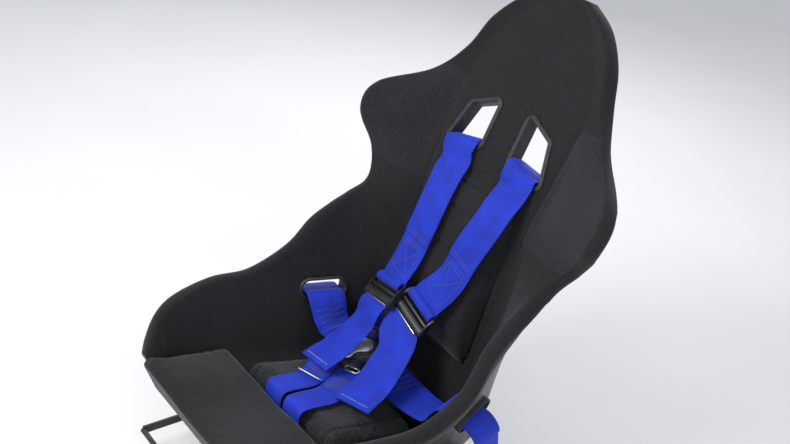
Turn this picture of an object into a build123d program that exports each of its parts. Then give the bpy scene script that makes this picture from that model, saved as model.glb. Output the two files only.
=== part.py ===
from build123d import *
import math
import os

# Racing bucket seat with its six-point harness, on side brackets and slide rails.
# Millimetres. +Z up, the occupant faces -Y, +X is the occupant's left.
# The origin is at floor level, under the middle of the seat.

# Wall of the moulded shell and the padded lining that is glued inside it
shell_wall = 6.0
joint_z = 252.0          # the pan and the back are moulded apart and bonded at this height
joint_gap = 0.3
lining = 18.0
glue_gap = 0.4
rim_drop = 16.0          # the shell's edge stops this far below the padded rim
rim_hook = 24.0          # how far the lining wraps down outside the shell
rim_cover = 5.0          # its thickness there
low_side = 60.0          # where the side is lower than this, the rim is slimmer
low_drop, low_hook = 5.0, 6.0

# The seat in side view: one row for each section across it, from the front lip to the head.
# floor_y and floor_z: the lining on the centre line. rim_y and rim_z: the top of the side.
# flat: half width of the flat middle. rim_x: half width at the rim. corner: radius between them.
sections = [
    # name, floor_y, floor_z, rim_y, rim_z, flat, rim_x, corner
    ("front lip", -328, 202, -342, 236, 168, 194, 22),
    ("lip rise", -306, 196, -308, 294, 170, 207, 40),
    ("thigh", -255, 184, -260, 311, 172, 233, 46),
    ("mid thigh", -160, 163, -174, 314, 174, 258, 48),
    ("seat", -50, 138, -89, 310, 175, 260, 50),
    ("hip front", 35, 124, -8, 345, 174, 255, 52),
    ("hip", 112, 142, 35, 398, 168, 244, 54),
    ("lumbar low", 146, 238, 71, 427, 160, 238, 54),
    ("lumbar", 168, 345, 109, 450, 152, 238, 52),
    ("waist", 193, 452, 148, 474, 146, 244, 50),
    ("under shoulder", 205, 510, 170, 524, 142, 276, 50),
    ("shoulder low", 221, 560, 159, 589, 148, 311, 50),
    ("shoulder high", 241, 611, 186, 644, 152, 304, 50),
    ("neck", 268, 680, 256, 691, 150, 227, 40),
    ("head low", 298, 747, 289, 749, 140, 174, 40),
    ("head", 321, 810, 312, 812, 108, 146, 40),
    ("head top", 341, 860, 333, 862, 66, 101, 36),
    ("crown", 349, 892, 343, 894, 22, 48, 16),
]
between_count = 2        # sections worked out for each gap of the table

# Shoulder slots, measured on the lining: the lowest corner, half widths and lengths of the sides
slot_z = 592.0
slot_inner_x, slot_outer_x, slot_top_x = 40.0, 120.0, 98.0
slot_inner_rise, slot_outer_long, slot_inner_long = 15.0, 77.0, 88.0
slot_corner = 5.0
bezel_lip = 9.0
bezel_stand = 2.5
bezel_gap = 1.0          # under the lip, where the back curves
bezel_wall = 3.0
lap_slot_y, lap_slot_z = 48.0, 258.0
lap_slot_long, lap_slot_high = 88.0, 34.0
sleeve_wall = 3.0
sleeve_lip = 7.0
lip_gap = 5.2            # the lining curves away under the lap slot's flat lip
cutter_in, cutter_out = 30.0, 80.0    # how far a slot's cutter reaches to either side of the lining
crotch_slot_y = -170.0
crotch_slot_wide, crotch_slot_long = 132.0, 18.0
crotch_lip = 6.0
crotch_lip_gap = 1.0     # between the shell's underside and the sleeve's lip

# Cushions. Each row: section and how far beyond it, half width, flare of the top, thickness, middle's dip
soft_gap = 0.6
cushion_edge = 10.0
back_cushion_rows = (
    ("lumbar low", 0.0, 112, 0, 26, 0), ("lumbar", 0.0, 116, 0, 34, 0), ("waist", 0.0, 114, 0, 31, 0),
    ("under shoulder", 0.0, 110, 0, 24, 0), ("shoulder low", 0.0, 102, 0, 4, 0))
base_cushion_rows = (
    ("mid thigh", 0.0, 138, 0, 46, 0), ("seat", 0.0, 138, 0, 46, 0), ("hip front", 0.0, 132, 0, 46, 0))
leg_cushion_rows = (
    ("front lip", 0.0, 146, 40, 34, 12), ("lip rise", 0.0, 145, 32, 40, 12),
    ("thigh", 0.0, 147, 36, 42, 9), ("thigh", 0.8, 149, 36, 42, 6))
apron_drop, apron_thick = 40.0, 12.0     # the leg cushion's front, over the lip

# Webbing
webbing = 75.0
narrow_webbing = 50.0
webbing_thick = 2.0

# Side brackets: bent steel plates bolted to the shell's bosses
side_mount_x = 222.0     # outer face of the bosses
bracket_thick = 4.0
bracket_front, bracket_back = -190.0, 110.0
bracket_top_front, bracket_top_back = 172.0, 150.0
boss_y_front, boss_y_back = -140.0, 60.0
boss_z_front, boss_z_back = 150.0, 126.0
boss_radius, boss_deep, boss_hole = 24.0, 45.0, 30.0
side_bolt = 8.0
foot_wide = 34.0

# Slide rails on the floor and the runners inside them
rail_x = 240.0
rail_wide, rail_high, rail_wall = 38.0, 18.0, 2.5
rail_long = 420.0
rail_lip = 8.0
rail_hole = 8.5
rail_hole_end = 20.0
rail_hole_spacing = rail_long - 2 * rail_hole_end
runner_front, runner_back = -190.0, 170.0
runner_foot_wide, runner_foot_high = 27.0, 5.0
runner_neck_wide = 12.0
runner_top_wide, runner_top_high = 34.0, 4.0
runner_top_z = 30.0
running_gap = 0.3

# Release bar of the slide
bar_diameter = 10.0
bar_pivot_y, bar_pivot_z = -150.0, 46.0
bar_front_y = -330.0
arm_thick, arm_high = 4.0, 16.0
pin_diameter = 8.0
pin_gap = 0.25

# Buckle: a round body with a cap that turns on top of it
buckle_x, buckle_y, buckle_z = -58.0, 48.0, 206.0
buckle_radius, buckle_thick = 31.0, 16.0
buckle_tilt, buckle_roll = 14.0, 8.0
cap_radius, cap_thick = 17.0, 6.0
lever_long, lever_wide = 40.0, 13.0
cap_gap = 0.6

# Adjusters: three-bar frames
adjuster_wide, adjuster_long, adjuster_thick = 90.0, 44.0, 4.0
adjuster_side, adjuster_bar = 5.0, 6.0
# each row: middle of the frame, a point up its strap, direction across it
adjusters = {
    "left": ((8, 100, 312), (28, 121, 352), (0.96, -0.10, -0.26)),
    "right": ((-75, 92, 316), (-72, 120, 350), (0.98, -0.12, 0.16)),
}

# Tongues: flat hooks round the buckle
tongue_out, tongue_frame, tongue_thick = 14.0, 16.0, 3.0
tongue_stem, tongue_bar, tongue_slot = 20.0, 5.0, 5.0
tongue_low = 2.0         # below the buckle's middle
tongues = (
    # name, direction in the buckle's plane, width of its frame
    ("shoulder_tongue_left", 56, 46), ("shoulder_tongue_right", 114, 46),
    ("lap_tongue_left", -4, 60), ("lap_tongue_right", 184, 60),
    ("crotch_tongue_left", 296, 34), ("crotch_tongue_right", 244, 34),
)

# Bolt-in plates on the free ends of the belts
anchor_wide, anchor_long, anchor_thick = 84.0, 56.0, 3.0
anchor_bolt, anchor_corner = 11.4, 12.0
crotch_anchor_wide, crotch_anchor_long = 116.0, 40.0
shoulder_end_y, shoulder_end_z = 292.0, 350.0
lap_end_x, lap_end_y, lap_end_z = 280.0, 62.0, 66.0
crotch_end_y, crotch_end_z = -182.0, 120.0


names = [row[0] for row in sections]


def row_at(place):
    """The table's numbers at a place, where 1.5 lies between its second and third rows."""
    i = min(int(place), len(sections) - 2)
    t = place - i
    four = [sections[min(max(k, 0), len(sections) - 1)][1:] for k in range(i - 1, i + 3)]
    return [0.5 * (2 * b + (c - a) * t + (2 * a - 5 * b + 4 * c - d) * t * t
                   + (3 * b - a - 3 * c + d) * t ** 3) for a, b, c, d in zip(*four)]


last_place = len(sections) - 1
places = [i / between_count for i in range(last_place * between_count + 1)]
rows = [row_at(place) for place in places]


def section_plane(place):
    """The plane through a section's centre, with local y towards the rim, and the side's height."""
    fy, fz, ry, rz = row_at(place)[:4]
    height = math.hypot(ry - fy, rz - fz)
    plane = Plane(origin=(0, fy, fz), x_dir=(1, 0, 0), z_dir=(0, (fz - rz) / height, (ry - fy) / height))
    return plane, height


def floor_lean(place):
    """How obliquely a section cuts the centre line, as the sine of the angle between them."""
    before = row_at(max(place - 1 / between_count, 0))
    after = row_at(min(place + 1 / between_count, last_place))
    along = Vector(0, after[0] - before[0], after[1] - before[1]).normalized()
    fy, fz, ry, rz = row_at(place)[:4]
    up = Vector(0, ry - fy, rz - fz).normalized()
    return max(along.cross(up).length, 0.35)


def rim_sizes(height):
    """How far below the rim the shell ends, and how far the lining hooks over it."""
    return (rim_drop, rim_hook) if height > low_side else (low_drop, low_hook)


def half_path(place, out, shorten=0.0):
    """Corner points of one half of a section, moved outwards by out.

    Returns the flat's end, the corner's middle, the wall's start and the rim."""
    fy, fz, ry, rz, flat, rim_x, corner = row_at(place)
    height = math.hypot(ry - fy, rz - fz)
    run = rim_x - flat
    length = math.hypot(run, height)
    wall = (run / length, height / length)
    normal = (wall[1], -wall[0])
    low = -out / floor_lean(place)
    turn = math.atan2(height, run)
    # where the moved wall meets the moved flat
    px, py = flat + normal[0] * out, normal[1] * out
    step = (low - py) / wall[1]
    qx, qy = px + wall[0] * step, low
    radius = corner + out
    tangent = radius * math.tan(turn / 2)
    flat_end = (qx - tangent, qy)
    wall_start = (qx + wall[0] * tangent, qy + wall[1] * tangent)
    centre = (qx - tangent, qy + radius)
    mid_angle = -math.pi / 2 + turn / 2
    middle = (centre[0] + radius * math.cos(mid_angle), centre[1] + radius * math.sin(mid_angle))
    rim = (rim_x + normal[0] * out - wall[0] * shorten, height + normal[1] * out - wall[1] * shorten)
    return flat_end, middle, wall_start, rim


def shell_section(place):
    plane, height = section_plane(place)
    drop, hook = rim_sizes(height)
    inner = half_path(place, lining + glue_gap, drop)
    outer = half_path(place, lining + glue_gap + shell_wall, drop)
    edges = []
    for side in (1, -1):
        for path in (inner, outer):
            flat_end, middle, wall_start, rim = [(side * x, y) for x, y in path]
            edges.append(ThreePointArc(flat_end, middle, wall_start))
            edges.append(Line(wall_start, rim))
        edges.append(Line((side * inner[3][0], inner[3][1]), (side * outer[3][0], outer[3][1])))
    for path in (inner, outer):
        edges.append(Line((-path[0][0], path[0][1]), (path[0][0], path[0][1])))
    return plane * Face(Wire(edges))


def wing_section(place, side):
    """The lining of one side: from beside the flat up the wall, over the rim and down outside."""
    plane, height = section_plane(place)
    drop, hook = rim_sizes(height)
    outside_out = lining + shell_wall + 2 * glue_gap
    face = half_path(place, 0.0)
    back = half_path(place, lining, drop - glue_gap)
    outside = half_path(place, outside_out, drop + hook)
    cover = half_path(place, outside_out + rim_cover, 0.0)
    cover_low = half_path(place, outside_out + rim_cover, drop + hook)
    rim_line = half_path(place, outside_out, drop - glue_gap)

    def at(point):
        return (side * point[0], point[1])

    edges = [
        ThreePointArc(at(face[0]), at(face[1]), at(face[2])),
        Line(at(face[2]), at(face[3])),
        Line(at(face[3]), at(cover[3])),
        Line(at(cover[3]), at(cover_low[3])),
        Line(at(cover_low[3]), at(outside[3])),
        Line(at(outside[3]), at(rim_line[3])),
        Line(at(rim_line[3]), at(back[3])),
        Line(at(back[3]), at(back[2])),
        ThreePointArc(at(back[2]), at(back[1]), at(back[0])),
        Line(at(back[0]), at(face[0])),
    ]
    return plane * Face(Wire(edges))


def centre_section(place):
    plane, height = section_plane(place)
    face = half_path(place, 0.0)
    back = half_path(place, lining)
    reach_face, reach_back = face[0][0] - glue_gap, back[0][0] - glue_gap
    return plane * Face(Wire.make_polygon([
        (-reach_face, face[0][1]), (reach_face, face[0][1]),
        (reach_back, back[0][1]), (-reach_back, back[0][1])]))


def back_y(height):
    """The lining's y on the centre line of the back at a height."""
    for low, high in zip(rows[:-1], rows[1:]):
        if low[1] <= height <= high[1] and low[0] > 100:
            share = (height - low[1]) / (high[1] - low[1])
            return low[0] + share * (high[0] - low[0])
    raise ValueError("height is off the back")


slot_tall = slot_inner_rise + slot_inner_long
slot_back = Vector(0, back_y(slot_z + slot_tall) - back_y(slot_z), slot_tall).normalized()
slot_plane = Plane(origin=(0, back_y(slot_z), slot_z), x_dir=(1, 0, 0), z_dir=(0, -slot_back.Z, slot_back.Y))


def slot_outline(side, grow):
    """A shoulder slot's four-sided outline, with a lower outer corner at its foot and at its top."""
    corners = [(slot_inner_x, slot_inner_rise), (slot_outer_x, 0),
               (slot_top_x, slot_outer_long), (slot_inner_x, slot_tall)]
    face = Face(Wire.make_polygon([(side * x, y) for x, y in corners]))
    face = fillet(face.vertices(), slot_corner)
    return offset(face, grow) if grow else face


def shoulder_slot(side, grow, front, back):
    """A block through the back at a shoulder slot, from front to back of the lining's face."""
    outline = slot_plane * slot_outline(side, grow)
    ahead = slot_plane.z_dir
    return extrude(outline, amount=front, dir=ahead) + extrude(outline, amount=back, dir=-ahead)


def wall_point(y, z):
    """Half width of the lining's face on the side wall at a place in side view."""
    hits = []
    for fy, fz, ry, rz, flat, rim_x, corner in rows:
        if fz < z < rz:
            share = (z - fz) / (rz - fz)
            hits.append((fy + share * (ry - fy), flat + share * (rim_x - flat)))
    hits.sort()
    for (y0, x0), (y1, x1) in zip(hits[:-1], hits[1:]):
        if y0 <= y <= y1:
            return x0 + (y - y0) / (y1 - y0) * (x1 - x0)
    raise ValueError("place is off the wall")


lap_x = wall_point(lap_slot_y, lap_slot_z)
lap_yaw = (wall_point(lap_slot_y + 20, lap_slot_z) - wall_point(lap_slot_y - 20, lap_slot_z)) / 40
lap_flare = (wall_point(lap_slot_y, lap_slot_z + 15) - wall_point(lap_slot_y, lap_slot_z - 15)) / 30


def lap_plane(side):
    """On the lining's face at a lap slot, with x along the slot and z outwards."""
    return Plane(origin=(side * lap_x, lap_slot_y, lap_slot_z),
                 x_dir=(side * lap_yaw, 1, 0), z_dir=(side, -lap_yaw, -lap_flare))


def lap_slot(side, grow, inward, outward):
    plane = lap_plane(side)
    outline = plane * SlotOverall(lap_slot_long + 2 * grow, lap_slot_high + 2 * grow)
    return (extrude(outline, amount=outward, dir=plane.z_dir)
            + extrude(outline, amount=inward, dir=-plane.z_dir))


def pan_height(y):
    """The lining's height on the centre line of the pan."""
    for front, rear in zip(rows[:-1], rows[1:]):
        if front[0] <= y <= rear[0] and rear[1] < 250:
            share = (y - front[0]) / (rear[0] - front[0])
            return front[1] + share * (rear[1] - front[1])
    raise ValueError("place is off the pan")


pan_lean = math.degrees(math.atan2(
    pan_height(crotch_slot_y - crotch_slot_long) - pan_height(crotch_slot_y + crotch_slot_long),
    2 * crotch_slot_long))


def crotch_slot(grow, top, bottom):
    """A block through the pan at the crotch slot, between two heights over the lining's face."""
    outline = SlotOverall(crotch_slot_wide + 2 * grow, crotch_slot_long + 2 * grow)
    place = Pos(0, crotch_slot_y, pan_height(crotch_slot_y)) * Rot(-pan_lean, 0, 0)
    return place * Pos(0, 0, bottom) * extrude(outline, amount=top - bottom)


def strap(rows, width, thick=webbing_thick):
    """A flat strap through rows of a point and the direction across it, mitred at each bend."""
    points = [Vector(*row[0]) for row in rows]
    rings = []
    for i, (point, row) in enumerate(zip(points, rows)):
        before = (point - points[i - 1]).normalized() if i else None
        after = (points[i + 1] - point).normalized() if i + 1 < len(points) else None
        before, after = before or after, after or before
        along = (before + after).normalized()
        half_turn = math.radians(before.get_angle(after)) / 2
        across = Vector(*row[1])
        across = (across - along * across.dot(along)).normalized() * (width / 2)
        out = along.cross(across).normalized() * (thick / 2 / math.cos(half_turn))
        rings.append([point + across + out, point - across + out,
                      point - across - out, point + across - out])
    faces = []

    def add(corners):
        """A face whose outward side is the one from which its corners run anticlockwise."""
        face = Face(Wire.make_polygon(corners))
        outward = (corners[1] - corners[0]).cross(corners[2] - corners[1])
        faces.append(face if face.normal_at().dot(outward) > 0 else -face)

    add(rings[0][::-1])
    add(rings[-1])
    for near, far in zip(rings[:-1], rings[1:]):
        for i in range(4):
            j = (i + 1) % 4
            # both broad sides are split along the same diagonal, so a twist keeps its thickness
            if i < 2:
                add([near[i], near[j], far[j]])
                add([near[i], far[j], far[i]])
            else:
                add([near[i], near[j], far[i]])
                add([near[j], far[j], far[i]])
    return Solid(Shell(faces))


def cushion_section(place, half_wide, flare, thick, dip):
    """A cushion's section on the lining, with rounded upper edges and a dip in the middle."""
    plane, height = section_plane(place)
    low = soft_gap / floor_lean(place)
    high = (soft_gap + thick) / floor_lean(place)
    edge = min(cushion_edge, thick * 0.6)
    half = [(half_wide, low), (half_wide + flare * 0.7, low + thick * 0.4), (half_wide + flare, high - edge),
            (half_wide + flare - edge, high), (half_wide * 0.5, high - dip * 0.7)]
    return plane * Face(Wire.make_polygon(half + [(0, high - dip)] + [(-x, y) for x, y in half[::-1]]))


def cushion(cushion_rows):
    """A cushion lofted over the lining through the rows of a table."""
    ends = [names.index(row[0]) + row[1] for row in cushion_rows]
    stops = sorted(set(ends + [place for place in places if ends[0] < place < ends[-1]]))
    faces = []
    for place in stops:
        k = max(i for i, end in enumerate(ends) if end <= place)
        last = min(k + 1, len(ends) - 1)
        share = (place - ends[k]) / (ends[last] - ends[k]) if last > k else 0
        sizes = [a + share * (b - a) for a, b in zip(cushion_rows[k][2:], cushion_rows[last][2:])]
        faces.append(cushion_section(place, *sizes))
    return loft(faces, ruled=True), faces[0]


def cushion_top(y, clear):
    """A point of side view that far above the seat cushion's top, as y and z."""
    tops = []
    for place in places:
        if names.index("mid thigh") <= place <= names.index("hip front"):
            plane, height = section_plane(place)
            thick = base_cushion_rows[0][4]
            point = plane.from_local_coords(Vector(0, (soft_gap + thick) / floor_lean(place)))
            tops.append((point.Y, point.Z))
    for (y0, z0), (y1, z1) in zip(tops[:-1], tops[1:]):
        if y <= y1:
            return y, z0 + (y - y0) / (y1 - y0) * (z1 - z0) + clear
    return y, tops[-1][1] + clear


parts = {}


# Shell, lofted through the sections, with a boss at each side bolt and the harness slots
def inside_section(place):
    plane, height = section_plane(place)
    path = half_path(place, lining + glue_gap)
    edges = [Line((-path[0][0], path[0][1]), (path[0][0], path[0][1]))]
    for side in (1, -1):
        flat_end, middle, wall_start, rim = [(side * x, y) for x, y in path]
        edges += [ThreePointArc(flat_end, middle, wall_start), Line(wall_start, rim)]
    edges.append(Line((-path[3][0], path[3][1]), (path[3][0], path[3][1])))
    return plane * Face(Wire(edges))


shell = loft([shell_section(place) for place in places], ruled=True)
low_places = [place for place in places if place < names.index("shoulder low")]
inside = loft([inside_section(place) for place in low_places], ruled=True)
for side in (1, -1):
    for y, z in ((boss_y_front, boss_z_front), (boss_y_back, boss_z_back)):
        start = side_mount_x - boss_deep if side > 0 else -side_mount_x
        boss = Pos(start, y, z) * extrude(Plane.YZ * Circle(boss_radius), amount=boss_deep)
        shell += boss - inside
        shell -= Pos(side * side_mount_x, y, z) * Rot(0, 90, 0) * Cylinder(side_bolt / 2, boss_hole)
    shell -= shoulder_slot(side, bezel_wall, cutter_in, cutter_out)
    shell -= lap_slot(side, sleeve_wall, cutter_in, cutter_out)
shell -= crotch_slot(bezel_wall, cutter_in, -cutter_out)
shell_reach = shell.bounding_box().diagonal
whole = Box(2 * shell_reach, 2 * shell_reach, shell_reach)
parts["seat_shell"] = shell & Pos(0, 0, joint_z + (joint_gap + shell_reach) / 2) * whole
parts["seat_shell_pan"] = shell & Pos(0, 0, joint_z - (joint_gap + shell_reach) / 2) * whole

# Lining: a centre panel and one panel on each side
centre = loft([centre_section(place) for place in places], ruled=True)
for side in (1, -1):
    centre -= shoulder_slot(side, bezel_wall, cutter_in, cutter_out)
centre -= crotch_slot(bezel_wall, cutter_in, -cutter_out)
parts["centre_lining"] = centre
for side, name in ((1, "left"), (-1, "right")):
    wing = loft([wing_section(place, side) for place in places], ruled=True)
    wing -= lap_slot(side, sleeve_wall, cutter_in, cutter_out)
    parts[f"side_lining_{name}"] = wing

# Cushions on the lining; the leg cushion has an apron that hangs over the lip
parts["back_cushion"] = cushion(back_cushion_rows)[0]
parts["base_cushion"] = cushion(base_cushion_rows)[0]
leg_cushion, front_face = cushion(leg_cushion_rows)
lip_plane, lip_height = section_plane(0)
name, beyond, half_wide, flare, thick, dip = leg_cushion_rows[0]
top = (soft_gap + thick) / floor_lean(0)
half = [(half_wide + flare, -apron_drop), (half_wide + flare, top - cushion_edge),
        (half_wide + flare - cushion_edge, top), (half_wide * 0.5, top - dip * 0.7)]
apron = lip_plane * Face(Wire.make_polygon(half + [(0, top - dip)] + [(-x, y) for x, y in half[::-1]]))
ahead = lip_plane.z_dir
apron = Pos(ahead * soft_gap) * extrude(apron, amount=apron_thick, dir=ahead)
parts["leg_cushion"] = leg_cushion + apron + extrude(front_face, amount=2 * soft_gap, dir=ahead)

# Slot bezels: a frame through the back with a lip on the lining
back_depth = lining + glue_gap + shell_wall
for side, name in ((1, "left"), (-1, "right")):
    outer = slot_plane * slot_outline(side, bezel_wall - glue_gap)
    lip = slot_plane * slot_outline(side, bezel_lip)
    ahead = slot_plane.z_dir
    bezel = extrude(outer, amount=back_depth + 2, dir=-ahead) + extrude(outer, amount=bezel_stand, dir=ahead)
    bezel += Pos(ahead * bezel_gap) * extrude(lip, amount=bezel_stand, dir=ahead)
    bezel -= shoulder_slot(side, 0, cutter_in, cutter_out)
    parts[f"shoulder_slot_bezel_{name}"] = bezel

# Lap slot sleeves with a lip on the lining, and the crotch slot's sleeve with a lip under the shell
for side, name in ((1, "left"), (-1, "right")):
    plane = lap_plane(side)
    sleeve = lap_slot(side, sleeve_wall - glue_gap, lip_gap + bezel_stand, back_depth + 6)
    lip = plane * SlotOverall(lap_slot_long + 2 * sleeve_lip, lap_slot_high + 2 * sleeve_lip)
    sleeve += Pos(-plane.z_dir * lip_gap) * extrude(lip, amount=bezel_stand, dir=-plane.z_dir)
    sleeve -= lap_slot(side, 0, cutter_in, cutter_out)
    parts[f"lap_slot_sleeve_{name}"] = sleeve
lip_top = -back_depth - crotch_lip_gap
sleeve = crotch_slot(bezel_wall - glue_gap, 0, lip_top - bezel_stand)
sleeve += crotch_slot(crotch_lip, lip_top, lip_top - bezel_stand)
sleeve -= crotch_slot(0, cutter_in, -cutter_out)
parts["crotch_slot_sleeve"] = sleeve

# Side brackets, runners and rails
for side, name in ((1, "left"), (-1, "right")):
    plate_x = side_mount_x + 0.3
    outline = Plane.YZ * Face(Wire.make_polygon([
        (bracket_front, runner_top_z), (bracket_back, runner_top_z),
        (bracket_back, bracket_top_back), (bracket_back - 40, bracket_top_back + 6),
        (bracket_front + 60, bracket_top_front), (bracket_front, bracket_top_front - 20)]))
    plate = extrude(outline, amount=bracket_thick)
    foot = Pos(foot_wide / 2, (bracket_front + bracket_back) / 2, runner_top_z + bracket_thick / 2) * Box(
        foot_wide, bracket_back - bracket_front, bracket_thick)
    plate += foot
    plate = Pos(plate_x, 0, 0) * plate
    for y, z in ((boss_y_front, boss_z_front), (boss_y_back, boss_z_back)):
        plate -= Pos(side_mount_x, y, z) * Rot(0, 90, 0) * Cylinder(side_bolt / 2 + 0.25, 40)
    if side < 0:
        plate = plate.mirror(Plane.YZ)
    parts[f"side_bracket_{name}"] = plate

    middle_y = (runner_front + runner_back) / 2
    long = runner_back - runner_front
    foot_z = rail_wall + running_gap
    runner = Pos(0, middle_y, foot_z + runner_foot_high / 2) * Box(
        runner_foot_wide, long, runner_foot_high)
    neck_high = runner_top_z - foot_z
    runner += Pos(0, middle_y, foot_z + neck_high / 2) * Box(runner_neck_wide, long, neck_high)
    runner += Pos(0, middle_y, runner_top_z - runner_top_high / 2 - 0.3) * Box(
        runner_top_wide, long, runner_top_high)
    parts[f"slide_runner_{name}"] = Pos(side * rail_x, 0, 0) * runner

    rail = Pos(0, 0, rail_high / 2) * Box(rail_wide, rail_long, rail_high)
    rail -= Pos(0, 0, rail_high / 2) * Box(
        rail_wide - 2 * rail_wall, rail_long, rail_high - 2 * rail_wall)
    rail -= Pos(0, 0, rail_high) * Box(
        rail_wide - 2 * rail_wall - 2 * rail_lip, rail_long, 4 * rail_wall)
    for y in (-rail_hole_spacing / 2, rail_hole_spacing / 2):
        rail -= Pos(0, y, 0) * Cylinder(rail_hole / 2, 4 * rail_wall)
    parts[f"floor_rail_{name}"] = Pos(side * rail_x, 0, 0) * rail

# Release bar: a cross tube on two flat arms, turning on pins on the brackets
arm_x = side_mount_x - 8
bar = Pos(0, bar_front_y, bar_pivot_z) * Rot(0, 90, 0) * Cylinder(bar_diameter / 2, 2 * arm_x)
for side in (1, -1):
    arm = Pos(side * arm_x, (bar_front_y + bar_pivot_y) / 2, bar_pivot_z) * Box(
        arm_thick, bar_pivot_y - bar_front_y, arm_high)
    arm += Pos(side * arm_x, bar_pivot_y, bar_pivot_z) * Rot(0, 90, 0) * Cylinder(
        arm_high / 2, arm_thick)
    bar += arm
    bar -= Pos(side * arm_x, bar_pivot_y, bar_pivot_z) * Rot(0, 90, 0) * Cylinder(
        pin_diameter / 2 + pin_gap, 4 * arm_thick)
parts["release_bar"] = bar
for side, name in ((1, "left"), (-1, "right")):
    reach = side_mount_x + 0.3 - (arm_x - 5)
    pin = Pos(side * (arm_x - 5 + reach / 2), bar_pivot_y, bar_pivot_z) * Rot(0, 90, 0) * Cylinder(
        pin_diameter / 2, reach)
    parts[f"side_bracket_{name}"] += pin

# Buckle body, cap and tongues
buckle_place = Pos(buckle_x, buckle_y, buckle_z) * Rot(buckle_tilt, buckle_roll, 0)
body = Cylinder(buckle_radius, buckle_thick)
body = chamfer(body.edges().group_by(Axis.Z)[-1], 3)
body += Pos(0, 0, buckle_thick / 2 + 3) * Cylinder(5, 6)
parts["buckle_body"] = buckle_place * body
cap_z = buckle_thick / 2 + cap_gap
cap = Pos(0, 0, cap_z + cap_thick / 2) * Cylinder(cap_radius, cap_thick)
lever = Pos(0, -lever_long / 2, cap_z + cap_thick / 2) * Box(lever_wide, lever_long, cap_thick - 2)
lever += Pos(0, -lever_long, cap_z + cap_thick / 2) * Cylinder(lever_wide / 2 + 2, cap_thick - 2)
cap += lever
cap -= Pos(0, 0, cap_z + 2) * Cylinder(5 + 0.3, 10)
parts["buckle_lever"] = buckle_place * cap

tongue_end, tongue_top = {}, {}
for name, angle, wide in tongues:
    frame_x = buckle_radius + tongue_out + tongue_frame / 2
    stem = Pos(buckle_radius + 0.4 + tongue_out / 2, 0) * Box(tongue_out, tongue_stem, tongue_thick)
    frame = Pos(frame_x, 0) * Box(tongue_frame, wide, tongue_thick)
    frame -= Pos(frame_x + 2, 0) * Box(tongue_slot, wide - 2 * tongue_bar, 4 * tongue_thick)
    place = buckle_place * Rot(0, 0, angle) * Pos(0, 0, -tongue_low)
    parts[name] = place * (stem + frame)
    end_x = frame_x + tongue_frame / 2
    across = (place * Pos(0, 1, 0)).position - place.position
    across *= math.copysign(1, across.X if abs(across.X) > abs(across.Y) else across.Y)
    spots = [(end_x + 0.4, 0), (end_x + 8, 0), (end_x - 3, tongue_thick / 2 + 2.6)]
    end, further, above = [(tuple((place * Pos(x, 0, z)).position), tuple(across)) for x, z in spots]
    tongue_end[name] = [end, further]
    tongue_top[name] = above

# Adjusters: three-bar frames on the shoulder straps
x_axis = (1, 0, 0)
adjuster_plane = {}
for name, (middle, above, across) in adjusters.items():
    along = Vector(*above) - Vector(*middle)
    plane = Plane(origin=middle, x_dir=across, z_dir=Vector(*across).cross(along))
    adjuster_plane[name] = plane
    window = (adjuster_long - 3 * adjuster_bar) / 2
    frame = Rectangle(adjuster_wide, adjuster_long)
    for step in (1, -1):
        frame -= Pos(0, step * (window + adjuster_bar) / 2) * Rectangle(
            adjuster_wide - 2 * adjuster_side, window)
    parts[f"adjuster_{name}"] = plane * extrude(frame, amount=adjuster_thick / 2, both=True)


def adjuster_point(name, along, out=0.0):
    """A point on an adjuster's middle line, along the strap and out towards the occupant."""
    return tuple(adjuster_plane[name].from_local_coords(Vector(0, along, out)))


# Webbing. Each row: a point on the middle of the strap, and the direction across it
strap_start = adjuster_long / 2 + 0.4
strap_x = (slot_inner_x + slot_outer_x) / 2 - 1.4
slot_mid_z = slot_z + slot_inner_rise / 2
tilted = (0.993, -0.12, 0)
shoulder = {
    "left": ((47, 134, 392), (62, 152, 455), (78, 173, 515), (80, 194, 548), (79, 218, 572)),
    "right": ((-68, 134, 392), (-61, 152, 455), (-59, 173, 515), (-64, 194, 548), (-73, 218, 572)),
}
# y, height over the middle of the slot's foot, and how far the strap follows the foot's slope
over_slot = ((223.5, -10, 0), (228, 3.0, 0), (236, 6.5, 1), (243, 7.5, 1), (262, 2.5, 1), (282, -8.5, 0.5),
             (shoulder_end_y, -27.5, 0))
tails = {
    "left": (((24, 52, 264), x_axis), ((42, 15, 242), x_axis), ((59, -25, 224), x_axis),
             ((74, -78, 209), x_axis)),
    "right": (((-71, 44, 264), (0.96, -0.28, 0)), ((-71, 15, 241), (0.96, -0.28, 0)),
              ((-69, -20, 222), (0.96, -0.28, 0)), ((-66, -64, 208), (0.98, -0.2, 0))),
}
for side, name in ((1, "left"), (-1, "right")):
    across = tuple(adjuster_plane[name].x_dir)
    top = [(adjuster_point(name, strap_start), across), (adjuster_point(name, strap_start + 8), across)]
    front = [(point, tilted) for point in shoulder[name]]
    slope = -side * slot_inner_rise / (slot_outer_x - slot_inner_x)
    rear = [((side * strap_x, y, slot_mid_z + rise), (1, 0, slope * share)) for y, rise, share in over_slot]
    rear.append(((side * strap_x, shoulder_end_y, shoulder_end_z), x_axis))
    parts[f"shoulder_strap_{name}"] = strap(top + front + rear, webbing)
    low = [(adjuster_point(name, -strap_start), across), (adjuster_point(name, -strap_start - 8), across)]
    parts[f"lower_strap_{name}"] = strap(low + [tongue_top[f"shoulder_tongue_{name}"]], narrow_webbing)
    low = [(adjuster_point(name, -strap_start, 4.2), across),
           (adjuster_point(name, -strap_start - 15, 9.0), across)]
    parts[f"strap_tail_{name}"] = strap(low + list(tails[name]), webbing)

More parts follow.
